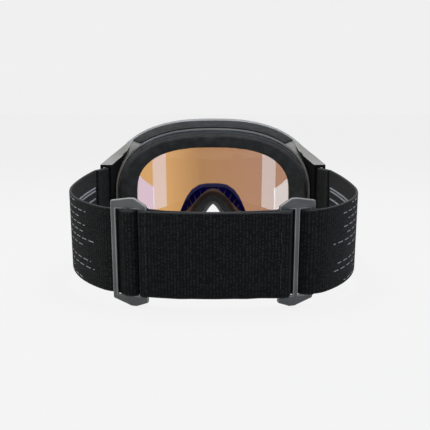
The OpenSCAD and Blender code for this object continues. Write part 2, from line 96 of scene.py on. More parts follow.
def linear(code):
    def channel(v):
        v = v / 255
        return v / 12.92 if v <= 0.04045 else ((v + 0.055) / 1.055) ** 2.4
    return tuple(channel(int(code[i:i + 2], 16)) for i in (1, 3, 5)) + (1.0,)


def startMaterial(name, **shader):
    material = bpy.data.materials.new(name)
    material.use_nodes = True
    tree = material.node_tree
    tree.nodes.clear()
    output = tree.nodes.new("ShaderNodeOutputMaterial")
    skin = tree.nodes.new("ShaderNodeBsdfPrincipled")
    tree.links.new(skin.outputs[0], output.inputs[0])
    for socket, value in shader.items():
        skin.inputs[socket.replace("_", " ")].default_value = value
    return material, tree, skin


# Adds one node, with its settings, its fixed inputs and its links.
def addNode(tree, kind, inputs=None, **settings):
    made = tree.nodes.new(kind)
    for key, value in settings.items():
        setattr(made, key, value)
    for key, value in (inputs or {}).items():
        if isinstance(value, bpy.types.NodeSocket):
            tree.links.new(value, made.inputs[key])
        else:
            made.inputs[key].default_value = value
    return made


def addMath(tree, operation, *values):
    return addNode(tree, "ShaderNodeMath", dict(enumerate(values)), operation=operation).outputs[0]


def addRamp(tree, source, stops):
    ramp = addNode(tree, "ShaderNodeValToRGB", {0: source})
    while len(ramp.color_ramp.elements) < len(stops):
        ramp.color_ramp.elements.new(0.5)
    for element, (place, code) in zip(ramp.color_ramp.elements, stops):
        element.position, element.color = place, linear(code)
    return ramp.outputs[0]


# Noise whose features are about so many millimetres wide.
def addNoise(tree, spot, size, detail, **inputs):
    return addNode(tree, "ShaderNodeTexNoise", {
        "Vector": spot, "Scale": 1 / (size * mm), "Detail": detail, **inputs}).outputs[0]


def addRange(tree, source, **inputs):
    return addNode(tree, "ShaderNodeMapRange", {
        "Value": source, **{key.replace("_", " "): value for key, value in inputs.items()}}).outputs[0]


def objectSpot(tree):
    return addNode(tree, "ShaderNodeTexCoord").outputs["Object"]


def paint(tree, skin, source, stops):
    tree.links.new(addRamp(tree, source, stops), skin.inputs["Base Color"])


def roughen(tree, skin, source, low, high):
    tree.links.new(addRange(tree, source, To_Min=low, To_Max=high), skin.inputs["Roughness"])


# Relief in the surface, as deep as the given millimetres.
def emboss(tree, skin, height, strength, depth):
    bump = addNode(tree, "ShaderNodeBump", {
        "Height": height, "Strength": strength, "Distance": depth * mm}).outputs[0]
    tree.links.new(bump, skin.inputs["Normal"])


# Moulded plastic: spark-eroded mould texture and a slow drift of shade.
def mouldedPlastic(name, dark, base, pale, grain=0.35, grainShare=0.35, drift=22,
                   rough=(0.48, 0.62), depth=0.05, shine=0.4):
    material, tree, skin = startMaterial(name, IOR=1.5, Specular_IOR_Level=shine)
    spot = objectSpot(tree)
    sparks = addNoise(tree, spot, 2 * grain, 3.0, Roughness=0.6)
    shade = addMath(tree, "MULTIPLY", sparks, grainShare)
    mixed = addMath(tree, "MULTIPLY_ADD", addNoise(tree, spot, drift, 2.0), 1 - grainShare, shade)
    paint(tree, skin, mixed, [(0.32, dark), (0.5, base), (0.68, pale)])
    roughen(tree, skin, sparks, *rough)
    emboss(tree, skin, sparks, 0.5, depth)
    return material


# The webbing's pattern in millimetres, a little coarser than the real yarn so that it shows.
# The two scales are per millimetre.
weave = {"rib": 1.8, "float": 1.1, "wander": 1.6, "wanderScale": 0.22, "lintScale": 2.6,
         "uneven": 4.0, "ribHeight": 3.2, "relief": 0.25, "middle": 25.0,
         "edgeLightFrom": 24.1, "edgeLightTo": 24.9, "edgeLightShare": 0.8, "edgeLightTone": "#39393a",
         "ribThin": 0.17, "edgeThin": 0.35, "edgeWide": 0.9, "rowHigh": 2.5}


# Webbing: elastic woven with ribs across it, each rib a column of small raised floats that
# catch the light unevenly. The piece's own UV map is in millimetres, along it and across it.
def wovenElastic(name, valley, thread, crest, printed=None):
    material, tree, skin = startMaterial(
        name, Roughness=0.85, Sheen_Weight=0.02, Sheen_Roughness=0.5, Specular_IOR_Level=0.15)
    place = addNode(tree, "ShaderNodeUVMap", uv_map="weave").outputs[0]
    warp = addNode(tree, "ShaderNodeTexNoise", {
        "Vector": place, "Scale": weave["wanderScale"], "Detail": 3.0}).outputs["Color"]
    slack = addNode(tree, "ShaderNodeVectorMath", {0: warp, 1: (weave["wander"], weave["wander"], 0.0)},
                    operation="MULTIPLY").outputs[0]
    moved = addNode(tree, "ShaderNodeVectorMath", {0: place, 1: slack}, operation="ADD").outputs[0]
    axes = addNode(tree, "ShaderNodeSeparateXYZ", {0: moved})
    rib = addMath(tree, "MULTIPLY", axes.outputs[0], 1 / weave["rib"])
    column = addMath(tree, "FLOOR", rib)
    across = addMath(tree, "PINGPONG", rib, 0.5)
    half = addMath(tree, "MULTIPLY", column, 0.5)
    row = addMath(tree, "MULTIPLY_ADD", axes.outputs[1], 1 / weave["float"], half)
    floatHeight = addMath(tree, "MULTIPLY", across, addMath(tree, "PINGPONG", row, 0.5))
    cell = addNode(tree, "ShaderNodeCombineXYZ", {0: column, 1: addMath(tree, "FLOOR", row)}).outputs[0]
    chance = addNode(tree, "ShaderNodeTexWhiteNoise", {"Vector": cell}, noise_dimensions="2D").outputs[0]
    uneven = addMath(tree, "ADD", addMath(tree, "MULTIPLY", chance, weave["uneven"]), 1.0)
    lint = addNode(tree, "ShaderNodeTexNoise", {
        "Vector": place, "Scale": weave["lintScale"], "Detail": 4.0, "Roughness": 0.7}).outputs[0]
    height = addMath(tree, "MULTIPLY_ADD", floatHeight, weave["ribHeight"], lint)
    lightness = addMath(tree, "MULTIPLY_ADD", floatHeight, uneven, lint)
    colour = addRamp(tree, lightness, [(0.42, valley), (0.78, thread), (1.0, crest)])
    # Painted highlight: the webbing is painted paler along both its edges, for the light on them.
    plain = addNode(tree, "ShaderNodeSeparateXYZ", {0: place}).outputs[1]
    fromMiddle = addMath(tree, "ABSOLUTE", addMath(tree, "SUBTRACT", plain, weave["middle"]))
    edgeLight = addRange(tree, fromMiddle, From_Min=weave["edgeLightFrom"], From_Max=weave["edgeLightTo"],
                        To_Max=weave["edgeLightShare"])
    colour = addNode(tree, "ShaderNodeMix", {0: edgeLight, 6: colour, 7: linear(weave["edgeLightTone"])},
                     data_type="RGBA").outputs[2]
    if printed:
        colour = printed(tree, place, colour)
    tree.links.new(colour, skin.inputs["Base Color"])
    emboss(tree, skin, height, 0.9, weave["relief"])
    return material


# Screen print on the side straps: plain silver dashes in staggered rows. Each row stops at its
# own share of the way from the arm to the slider.
printRows = {"pitch": 4.2, "line": 0.5, "dash": 8.0, "cover": 0.66, "stagger": 0.37,
             "stops": (0.62, 0.92), "ink": "#949699"}


def brokenLines(tree, place, cloth):
    axes = addNode(tree, "ShaderNodeSeparateXYZ", {0: place})
    reach = addNode(tree, "ShaderNodeAttribute", attribute_name="printReach").outputs["Fac"]
    rows = addMath(tree, "MULTIPLY", axes.outputs[1], 1 / printRows["pitch"])
    rowStep = addMath(tree, "FLOOR", rows)
    offLine = addMath(tree, "ABSOLUTE", addMath(tree, "SUBTRACT", addMath(tree, "FRACT", rows), 0.5))
    onLine = addMath(tree, "LESS_THAN", offLine, printRows["line"] / printRows["pitch"] / 2)
    chance = addNode(tree, "ShaderNodeTexWhiteNoise", {"W": rowStep}, noise_dimensions="1D").outputs[0]
    stop = addRange(tree, chance, To_Min=printRows["stops"][0], To_Max=printRows["stops"][1])
    within = addMath(tree, "LESS_THAN", reach, stop)
    shift = addMath(tree, "MULTIPLY", rowStep, printRows["stagger"])
    dash = addMath(tree, "FRACT", addMath(
        tree, "MULTIPLY_ADD", axes.outputs[0], 1 / printRows["dash"], shift))
    dashed = addMath(tree, "LESS_THAN", dash, printRows["cover"])
    ink = addMath(tree, "MULTIPLY", addMath(tree, "MULTIPLY", onLine, dashed), within)
    return addNode(tree, "ShaderNodeMix", {0: ink, 6: cloth, 7: linear(printRows["ink"])},
                   data_type="RGBA").outputs[2]


# Foam: skin cut through open cells, so small dark pits on a soft charcoal.
def openCellFoam(name, pit, body, lit, cell=0.7, cloud=6, depth=0.25, sheen=0.05):
    material, tree, skin = startMaterial(
        name, Roughness=0.92, Sheen_Weight=sheen, Specular_IOR_Level=0.15)
    spot = objectSpot(tree)
    cells = addNode(tree, "ShaderNodeTexVoronoi", {
        "Vector": spot, "Scale": 1 / (cell * mm), "Randomness": 0.9}).outputs[0]
    mixed = addMath(tree, "MULTIPLY_ADD", cells, 0.6, addNoise(tree, spot, cloud, 3.0))
    paint(tree, skin, mixed, [(0.35, pit), (0.75, body), (1.0, lit)])
    emboss(tree, skin, cells, 0.8, depth)
    return material


# Drawn steel rod: long fine scratches.
def drawnSteel(name, dark, pale, scratchWide=0.12, stretch=0.04, rough=(0.26, 0.42)):
    material, tree, skin = startMaterial(name, Metallic=1.0)
    along = addNode(tree, "ShaderNodeMapping", {
        "Vector": objectSpot(tree), "Scale": (1, 1, stretch)}).outputs[0]
    scratch = addNoise(tree, along, scratchWide, 2.0)
    paint(tree, skin, scratch, [(0.3, dark), (0.7, pale)])
    roughen(tree, skin, scratch, *rough)
    return material


# Closed-cell gasket: dense foam with a dull skin.
def closedCell(name, dark, pale, cell=0.8, depth=0.08):
    material, tree, skin = startMaterial(name, Roughness=0.8, Specular_IOR_Level=0.1)
    speck = addNoise(tree, objectSpot(tree), cell, 3.0)
    paint(tree, skin, speck, [(0.3, dark), (0.7, pale)])
    emboss(tree, skin, speck, 0.4, depth)
    return material


# Screen-printed silicone: silvery, a little uneven along the line.
def printedSilicone(name, dark, pale, blot=1.5):
    material, tree, skin = startMaterial(name, Roughness=0.42, IOR=1.43)
    paint(tree, skin, addNoise(tree, objectSpot(tree), blot, 3.0), [(0.3, dark), (0.7, pale)])
    return material


# Tinted lens: amber on the wearer's left going to rose on the right. Its flash-mirror coat is
# toric about the level of the eyes: its normal leans back and throws the studio's cards over the
# strap. The lean is in degrees, the bow per metre, and the other sizes are in millimetres.
def tintedLens(name, left, middle, right, coat, lean=6.5, bow=2.8, eyeLevel=70, half=60, cloud=60,
               cloudShare=0.06):
    material, tree, skin = startMaterial(
        name, Roughness=0.0, IOR=1.2, Transmission_Weight=1.0, Specular_IOR_Level=0.5,
        Coat_Weight=coat, Coat_IOR=1.9, Coat_Roughness=0.015)
    spot = objectSpot(tree)
    axes = addNode(tree, "ShaderNodeSeparateXYZ", {0: spot})
    share = addRange(tree, axes.outputs[0], From_Min=half * mm, From_Max=-half * mm)
    mixed = addMath(tree, "MULTIPLY_ADD", addNoise(tree, spot, cloud, 1.0), cloudShare, share)
    paint(tree, skin, mixed, [(0.2, left), (0.45, middle), (0.9, right)])
    height = addMath(tree, "SUBTRACT", axes.outputs[2], eyeLevel * mm)
    steep = addMath(tree, "MULTIPLY_ADD", height, bow / 2, -math.tan(math.radians(lean)))
    slope = addMath(tree, "MULTIPLY", height, steep)
    toric = addNode(tree, "ShaderNodeBump", {"Height": slope, "Strength": 1.0, "Distance": 1.0}).outputs[0]
    tree.links.new(toric, skin.inputs["Coat Normal"])
    return material


# Bonded polyester thread: tight plies that wind round it.
def bondedThread(name, dark, pale, ply=2.4, depth=0.06):
    material, tree, skin = startMaterial(name, Roughness=0.55, Specular_IOR_Level=0.4)
    plies = addNode(tree, "ShaderNodeTexWave", {
        "Vector": objectSpot(tree), "Scale": 1 / (ply * mm), "Distortion": 1.0},
        bands_direction="DIAGONAL").outputs[1]
    paint(tree, skin, plies, [(0.2, dark), (0.8, pale)])
    emboss(tree, skin, plies, 0.6, depth)
    return material


framePlastic = mouldedPlastic("moulded TPU frame", "#52514f", "#5e5d5b", "#6a6967")
facePlastic = mouldedPlastic("moulded TPU face frame", "#3b3a39", "#464544", "#51504f")
armPlastic = mouldedPlastic("moulded nylon outrigger", "#5f5e5c", "#6a6967", "#757472")
# Painted shade: a near-black copy of the plastic for the faces that lie in shade beside the frame.
insideShadePlastic = mouldedPlastic("TPU, painted shade where it faces the head", "#080808", "#0d0d0d", "#151515",
                              rough=(0.84, 0.94), shine=0.12)
# Painted highlight: a pale copy of the frame's plastic for its rear lip.
rimHighlightPlastic = mouldedPlastic("moulded TPU, painted highlight on the rim", "#a5a4a3", "#b2b1b0", "#bfbebd")
# Painted highlight: a paler copy of the face frame's plastic for its faces turned to the back.
lipHighlightPlastic = mouldedPlastic("moulded TPU, painted highlight on the lip", "#73716f", "#807e7c", "#8d8b89")
sliderPlastic = mouldedPlastic("moulded nylon slider", "#454443", "#525150", "#5f5e5d", depth=0.04)
# Painted highlight: a paler copy of the slider's nylon for its bevelled edges.
sliderEdgeHighlight = mouldedPlastic("moulded nylon, painted highlight on the edges", "#747371", "#888785", "#969593", depth=0.03)
webbingCloth = wovenElastic("woven elastic webbing", "#050505", "#0c0c0d", "#262627")
webbingBack = wovenElastic("woven elastic webbing, lighter inner face", "#171718", "#222223", "#303031")
printedCloth = wovenElastic("woven elastic webbing with silver print", "#050505", "#0c0c0d", "#262627",
                            printed=brokenLines)
baseFoamSkin = openCellFoam("cut open-cell base foam", "#141415", "#1d1d1e", "#272728")
midFoamSkin = openCellFoam("cut fine-cell middle foam", "#121213", "#1a1a1b", "#242425", cell=0.5)
ventFoamSkin = openCellFoam("reticulated vent foam", "#0f0f10", "#1b1b1c", "#282829", cell=1.1,
                            depth=0.4)
fleeceSkin = openCellFoam("brushed fleece", "#191919", "#232323", "#2f2f2f", cell=0.45, depth=0.2,
                          sheen=0.04)
# Painted light: brown copies of the fleece for the amber light through the lens, the second one paler.
amberLightSkin = openCellFoam("fleece, painted amber light from the lens", "#170e09", "#21160f", "#2c1e15", cell=0.45,
                         depth=0.15, sheen=0.02)
paleAmberLightSkin = openCellFoam("fleece, painted pale amber light from the lens", "#3c2a20", "#4a3529", "#573f31",
                             cell=0.45, depth=0.15, sheen=0.02)
steelRod = drawnSteel("drawn steel rod", "#77797d", "#a5a7ab")
sewingThread = bondedThread("bonded polyester thread", "#0b0b0c", "#2c2c2e")
gasketFoam = closedCell("closed-cell gasket", "#070570", "#0d0aa4")
siliconeLine = printedSilicone("printed silicone", "#77797e", "#9a9ca1")
outerTint = tintedLens("tinted polycarbonate", "#efba7a", "#c49463", "#c4967a", coat=0.0)
innerTint = tintedLens("clear cellulose inner lens, coated", "#faf6f0", "#faf5f1", "#faf4f2", coat=1.0)
plainInner = tintedLens("clear cellulose inner lens", "#faf6f0", "#faf5f1", "#faf4f2", coat=0.0)
print("materials made")


def pickOnly(piece):
    bpy.ops.object.select_all(action="DESELECT")
    bpy.context.view_layer.objects.active = piece
    piece.select_set(True)


def setMaterial(piece, material):
    piece.data.materials.clear()
    piece.data.materials.append(material)


def finishModifiers(piece):
    pickOnly(piece)
    for modifier in list(piece.modifiers):
        bpy.ops.object.modifier_apply(modifier=modifier.name)


def startEditing(piece):
    pickOnly(piece)
    bpy.ops.object.mode_set(mode="EDIT")
    bpy.ops.mesh.select_all(action="SELECT")


joined = {"gap": 0.004, "bend": 0.6}  # mm and degrees, below which CAD triangles are one face


# A copy of a CAD node with its triangles joined, its edges rounded and its faces smooth.
# The width of an edge is in millimetres, and a lit edge takes its own material, a painted highlight.
def roundedCopy(node, name, body, material, edge=0.3, angle=32, litEdge=None):
    pickOnly(nodes[node])
    bpy.ops.object.duplicate()
    piece = bpy.context.object
    piece.name = name
    piece.data.name = name
    piece.parent = None
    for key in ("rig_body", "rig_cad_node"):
        if key in piece:
            del piece[key]
    startEditing(piece)
    bpy.ops.mesh.remove_doubles(threshold=joined["gap"] * mm)
    bpy.ops.mesh.dissolve_limited(angle_limit=math.radians(joined["bend"]))
    bpy.ops.object.mode_set(mode="OBJECT")
    setMaterial(piece, material)
    if litEdge:
        piece.data.materials.append(litEdge)
    if edge:
        bevel = piece.modifiers.new("edge", "BEVEL")
        bevel.material = 1 if litEdge else -1
        bevel.width = edge * mm
        bevel.segments = 2
        bevel.limit_method = "ANGLE"
        bevel.angle_limit = math.radians(angle)
        bevel.use_clamp_overlap = True
        bevel.harden_normals = False
        finishModifiers(piece)
    pickOnly(piece)
    bpy.ops.object.shade_smooth_by_angle(angle=math.radians(angle))
    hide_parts(node)
    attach(piece, body)
    return piece


# Gives another material to the faces that a test picks by their middle and normal.
def recolour(piece, material, picks):
    piece.data.materials.append(material)
    for face in piece.data.polygons:
        if picks(face.center / mm, face.normal):
            face.material_index = len(piece.data.materials) - 1


# A lens is a true cylinder, so the normals of its two faces point straight from its axis.
def trueLensNormals(piece):
    mesh, normals = piece.data, []
    axis = Vector((0, (lensAxis - route["centreY"]) * mm))
    for face in mesh.polygons:
        for index in face.vertices:
            away = (mesh.vertices[index].co.xy - axis).normalized()
            lean = face.normal.xy.dot(away)
            normals.append((*away, 0) if lean > 0.9 else (*-away, 0) if lean < -0.9 else face.normal)
    mesh.normals_split_custom_set(normals)


print("tools ready")

# The strap's route, in millimetres, as the part's source gives it.
route = {"width": 50, "spread": 50.8, "thick": 1.6, "halfWidth": 92, "length": 141, "backRadius": 152,
         "sideRadius": 76, "bendRadius": 18, "sewnEnd": 16, "clear": 0.1, "bond": 0.1, "turn": 14,
         "armMid": 80, "barY": -3.8, "barRadius": 1.2, "height": 43, "centreY": 40.4736,
         "sliderBar": 2.8, "sliderSlot": 6.3, "sliderThick": 2.2, "sliderHeight": 63.6,
         "sliderTip": 3.6, "tail": 16, "easing": 12, "tailGap": 2, "closing": 8, "tailLead": 0.5,
         "loopBack": 0.5, "crossBend": 1.2, "crossEdge": 0.2, "crossLoop": 1.8, "frontLead": 4,
         "headY": 60}
noseBand = {"half": 38, "low": 18, "high": 53, "rear": -84}  # mm, the navy seal over the nose arch
rimHighlightFrom = 50  # mm, the height above which the frame's rear lip is painted pale, a painted highlight
lensAxis = 48.0  # mm, where the lenses' upright axis stands, on the source's own scale

# The frame, the lens and the hardware keep the solids' shapes; the moulded parts get eased edges.
frameShell = roundedCopy("front_frame", "frameShell", "goggle", framePlastic, edge=0.35)
# Painted highlight: the frame's faces turned to the back, above the rim height, are painted pale.
recolour(frameShell, rimHighlightPlastic, lambda at, normal: normal.y > 0.7 and at.z > rimHighlightFrom)
recolour(frameShell, gasketFoam, lambda at, normal: abs(at.x) < noseBand["half"]
         and noseBand["low"] < at.z < noseBand["high"] and min(normal.y, normal.z) > -0.3
         and at.y < noseBand["rear"])
faceShell = roundedCopy("face_frame", "faceFrameShell", "goggle", facePlastic, edge=0.3)
# Painted highlight: the face frame's faces turned to the back are painted paler.
recolour(faceShell, lipHighlightPlastic, lambda at, normal: normal.y > 0.5)


# Painted shade: the outriggers and mounts are painted near black wherever they face the head.
def shadeInside(piece, sign):
    recolour(piece, insideShadePlastic, lambda at, normal: normal.z < 0.6 and normal.x * sign < 0.2
             and (normal.x * sign < -0.3 or normal.y > 0.5))


for side, sign in (("left", 1), ("right", -1)):
    shadeInside(roundedCopy(side + "_mount", side + "MountShell", "goggle",
                           armPlastic, edge=0.4), sign)
    shadeInside(roundedCopy(side + "_outrigger", side + "OutriggerShell", side + "_arm",
                           armPlastic, edge=0.45), sign)
    roundedCopy(side + "_slider", side + "SliderShell", side + "_buckle",
                sliderPlastic, edge=0.5, litEdge=sliderEdgeHighlight)
trueLensNormals(roundedCopy("outer_lens", "outerLensShell", "goggle", outerTint, edge=0))
innerLens = roundedCopy("inner_lens", "innerLensShell", "goggle", innerTint, edge=0)
recolour(innerLens, plainInner, lambda at, normal: normal.y < 0.3)
trueLensNormals(innerLens)
for node in ("left_hinge_pin", "right_hinge_pin", "left_strap_bar", "right_strap_bar"):
    setMaterial(nodes[node], steelRod)
setMaterial(nodes["lens_gasket"], gasketFoam)
print("frame and hardware dressed")

thick = route["thick"]
turn = math.radians(route["turn"])
over = route["sliderThick"] / 2 + route["clear"] + thick / 2
overTwo = over + thick + route["clear"]
layer = thick / 2 + route["clear"] / 2
wideLayer = layer + thick / 2 + route["clear"] / 2
sliderHalf = 1.5 * route["sliderBar"] + route["sliderSlot"]
barEdge = route["sliderBar"] / 2 + route["sliderSlot"]
loopX = -barEdge - route["loopBack"]
wideX = route["halfWidth"] - thick / 2
backY = route["length"] - route["sewnEnd"]
along = Vector((math.cos(turn), -math.sin(turn)))
outward = Vector((math.sin(turn), math.cos(turn)))
innerEnd = route["backRadius"] * outward + Vector((0, backY - route["backRadius"]))
sliderAt = innerEnd + sliderHalf * along
lowY = sliderAt.y + route["sliderThick"] / 2 * outward.y + route["sliderTip"] * math.sin(turn)
halfSlider = route["sliderHeight"] / 2
droop = math.asin(route["height"] / math.hypot(lowY, halfSlider)) - math.atan2(halfSlider, lowY)


def onStrap(x, y, z):  # from the strap's own plane, which droops towards the back
    return Vector((x, y * math.cos(droop) + z * math.sin(droop) + route["sewnEnd"] - route["centreY"],
                   z * math.cos(droop) - y * math.sin(droop) + route["height"])) * mm


def onArm(x, y, z):  # upright, for the loop sewn round the outrigger's bar
    return Vector((x, y - route["centreY"], z + route["height"])) * mm


def mirrored(place):
    return lambda x, y, z: place(-x, y, z)


def onSlider(u, v):
    p = sliderAt + u * along + v * outward
    return p.x, p.y


def arc(centre, radius, a1, a2, n=40):
    return [(centre[0] + radius * math.cos(math.radians(a1 + (a2 - a1) * i / n)),
             centre[1] + radius * math.sin(math.radians(a1 + (a2 - a1) * i / n)))
            for i in range(n + 1)]


def bendCentre(v):
    return innerEnd + 2 * sliderHalf * along + (v - route["bendRadius"]) * outward


def bendAngle(v):
    return math.degrees(math.acos((bendCentre(v).x - wideX + route["sideRadius"])
                                  / (route["sideRadius"] - route["bendRadius"])))


def wideY(v):
    return bendCentre(v).y - (route["sideRadius"] - route["bendRadius"]) * math.sin(
        math.radians(bendAngle(v)))


legX = route["armMid"] + route["barRadius"] + route["clear"] + thick / 2


def leadRadius(v):
    dx, dy = wideX - legX, wideY(v) + route["sewnEnd"]
    return (dx * dx + dy * dy) / (2 * dx)


def sidePath(v, inset=0.0):
    lead, bend = leadRadius(v), bendAngle(v)
    start = -math.degrees(math.asin((wideY(v) + route["frontLead"]) / lead))
    return (arc((wideX - lead, wideY(v)), lead - inset, start, 0)
            + arc((wideX - route["sideRadius"], wideY(v)), route["sideRadius"] - inset,
                  bend / 40, bend)
            + arc(bendCentre(v), route["bendRadius"] - inset, bend + 1, 90 - route["turn"]))


def armLoopPath():
    lead = leadRadius(0)
    c = (wideX - lead, wideY(0) + route["sewnEnd"])
    a1 = -math.degrees(math.asin(c[1] / lead))
    a2 = -math.degrees(math.asin((c[1] - route["sewnEnd"] - thick) / lead))
    inner = arc(c, lead - thick - route["bond"], a2, (a1 + a2) / 2, 12)
    radius = route["barRadius"] + route["clear"] + thick / 2
    return inner + arc((route["armMid"], route["barY"]), radius, 170, 360, 30) + arc(c, lead, a1, a2, 20)


def sBend(p, q, r):
    dx, up = p[0] - q[0], 1 if q[1] > p[1] else -1
    rise = abs(q[1] - p[1]) - 2 * r
    a = math.atan2(rise, dx) + math.asin(2 * r / math.hypot(rise, dx))
    return ([(p[0] - r * math.sin(a * i / 12), p[1] + up * r * (1 - math.cos(a * i / 12)))
             for i in range(13)]
            + [(q[0] + r * math.sin(a * i / 12), q[1] - up * r * (1 - math.cos(a * i / 12)))
               for i in range(12, -1, -1)])


def weavePath(s):
    edge, bar, r = route["crossEdge"], route["sliderBar"] / 2, route["crossBend"]
    flat = ([(sliderHalf - route["bond"], -s * over)]
            + sBend((barEdge - edge, -s * over), (bar + edge, s * over), r)
            + sBend((-bar - edge, s * over), (loopX + route["crossLoop"], -s * overTwo), r)
            + [(route["bond"] - sliderHalf, -s * overTwo)])
    return [onSlider(*p) for p in flat]


backRun = 2 * turn * route["backRadius"]


def smooth(t):
    t = min(max(t, 0), 1)
    return t * t * (3 - 2 * t)


def standOff(s, end):
    past = s - route["tail"] - route["tailGap"]
    if past < 0:
        return end + (wideLayer - end) * smooth(s / route["easing"])
    return wideLayer + (layer - wideLayer) * smooth(past / route["closing"])


def backPoint(s, v):
    a = turn - s / route["backRadius"]
    return ((route["backRadius"] + v) * math.sin(a),
            backY - route["backRadius"] + (route["backRadius"] + v) * math.cos(a))


def backPath(side, leftEnd, rightEnd, count=120):
    path = []
    for i in range(count + 1):
        s = route["bond"] + (backRun - 2 * route["bond"]) * i / count
        t = backRun - s
        path.append(backPoint(s, side * (standOff(s, leftEnd) if s < t else standOff(t, rightEnd))))
    return path


def endLoopPath(s):
    turned = arc((loopX, 0), over, 90, -90, 20)
    bar = [(-sliderHalf, s * over)] + [(x, s * y) for x, y in turned] + [(-sliderHalf, -s * over)]
    lead = route["tailLead"]
    runs = [lead + (route["tail"] - lead) * i / 20 for i in range(21)]
    tail = [backPoint(run, -s * over * (1 - smooth(run / route["easing"]))) for run in runs]
    return [onSlider(*p) for p in bar] + tail


# Points at even steps along a path, and the path's length.
def evenly(path, step):
    runs = [0.0]
    for a, b in zip(path, path[1:]):
        runs.append(runs[-1] + math.hypot(b[0] - a[0], b[1] - a[1]))
    count = max(2, round(runs[-1] / step))
    out, k = [], 0
    for i in range(count + 1):
        at = runs[-1] * i / count
        while k < len(runs) - 2 and runs[k + 1] < at:
            k += 1
        f = (at - runs[k]) / max(runs[k + 1] - runs[k], 1e-9)
        out.append((path[k][0] + f * (path[k + 1][0] - path[k][0]),
                    path[k][1] + f * (path[k + 1][1] - path[k][1])))
    return out, runs[-1]


# A strip follows a path in plan. Its thickness swells on each rib and thins at its two edges.
def strip(name, path, place, high=None, deep=None, step=0.35, zAt=0.0, start=0.0, ribs=True,
          rows=(0.25, 0.7, 1.4, 2.4)):
    high, deep = high or route["width"], deep or thick
    points, length = evenly(path, step)
    cols = len(points) - 1
    inner = max(2, round((high - 2 * rows[-1]) / weave["rowHigh"])) if ribs else 1
    levels = [0.0, *rows] if ribs else [0.0]
    levels += [levels[-1] + (high - 2 * levels[-1]) * i / inner for i in range(1, inner)]
    levels += [high - v for v in reversed([0.0, *rows] if ribs else [0.0])]
    bpy.ops.object.select_all(action="DESELECT")
    bpy.ops.mesh.primitive_grid_add(x_subdivisions=cols, y_subdivisions=len(levels) - 1, size=1)
    piece = bpy.context.object
    piece.name = name
    piece.data.name = name
    weaveMap = piece.data.uv_layers[0]
    weaveMap.name = "weave"
    group = piece.vertex_groups.new(name="thickness")
    spots = {}
    for vertex in piece.data.vertices:
        i = round((vertex.co.x + 0.5) * cols)
        j = round((vertex.co.y + 0.5) * (len(levels) - 1))
        spots[vertex.index] = (i, j)
        vertex.co = place(points[i][0], points[i][1], levels[j] - high / 2 + zAt)
        weight = 1.0
        if ribs:
            run = start + length * i / cols
            weight -= weave["ribThin"] * (1 - abs(math.sin(math.pi * run / weave["rib"])))
            edge = min(levels[j], high - levels[j])
            weight *= 1 - weave["edgeThin"] * max(0, 1 - edge / weave["edgeWide"]) ** 2
        group.add([vertex.index], weight, "REPLACE")
    for loop in piece.data.loops:
        i, j = spots[loop.vertex_index]
        weaveMap.data[loop.index].uv = (start + length * i / cols, levels[j])
    reach = piece.data.attributes.new("printReach", "FLOAT", "POINT")
    for index, (i, j) in spots.items():
        reach.data[index].value = i / cols
    solid = piece.modifiers.new("thickness", "SOLIDIFY")
    solid.thickness = deep * mm
    solid.offset = 0
    solid.vertex_group = "thickness"
    finishModifiers(piece)
    piece.vertex_groups.clear()
    startEditing(piece)
    bpy.ops.mesh.normals_make_consistent(inside=False)
    bpy.ops.object.mode_set(mode="OBJECT")
    bpy.ops.object.shade_smooth_by_angle(angle=math.radians(50))
    return piece


def joinAll(pieces, name):
    pickOnly(pieces[0])
    for piece in pieces[1:]:
        piece.select_set(True)
    bpy.ops.object.join()
    whole = bpy.context.object
    whole.name = name
    whole.data.name = name
    return whole


# Cuts a piece by an upright plane across the route and keeps what lies behind or ahead of it.
def cutAcross(piece, at, keepBack):
    startEditing(piece)
    bpy.ops.mesh.bisect(plane_co=(0, (at - route["centreY"]) * mm, 0), plane_no=(0, 1, 0),
                        use_fill=True, clear_inner=keepBack, clear_outer=not keepBack)
    bpy.ops.object.mode_set(mode="OBJECT")
    return piece


# Gives the material, and a lighter copy of the webbing to the faces that look at the head.
def dress(piece, material, slotName, *replaced, backed=False):
    setMaterial(piece, material)
    if backed:
        piece.data.materials.append(webbingBack)
        middle = Vector((0, (route["headY"] - route["centreY"]) * mm))
        for face in piece.data.polygons:
            if face.normal.xy.dot(face.center.xy - middle) < 0:
                face.material_index = 1
    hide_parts(*replaced)
    return piece


splitAt = 62  # mm on the source's own scale, where each side strap is cut into a front and a rear piece


# Where a side strap leaves its arm, where it is split and where it meets its slider.
def bendPlaces(sign):
    return (onArm(sign * legX, route["sewnEnd"], 0), onArm(sign * wideX, splitAt, 0),
            (onStrap if sign > 0 else mirrored(onStrap))(*onSlider(sliderHalf, -over * sign), 0))


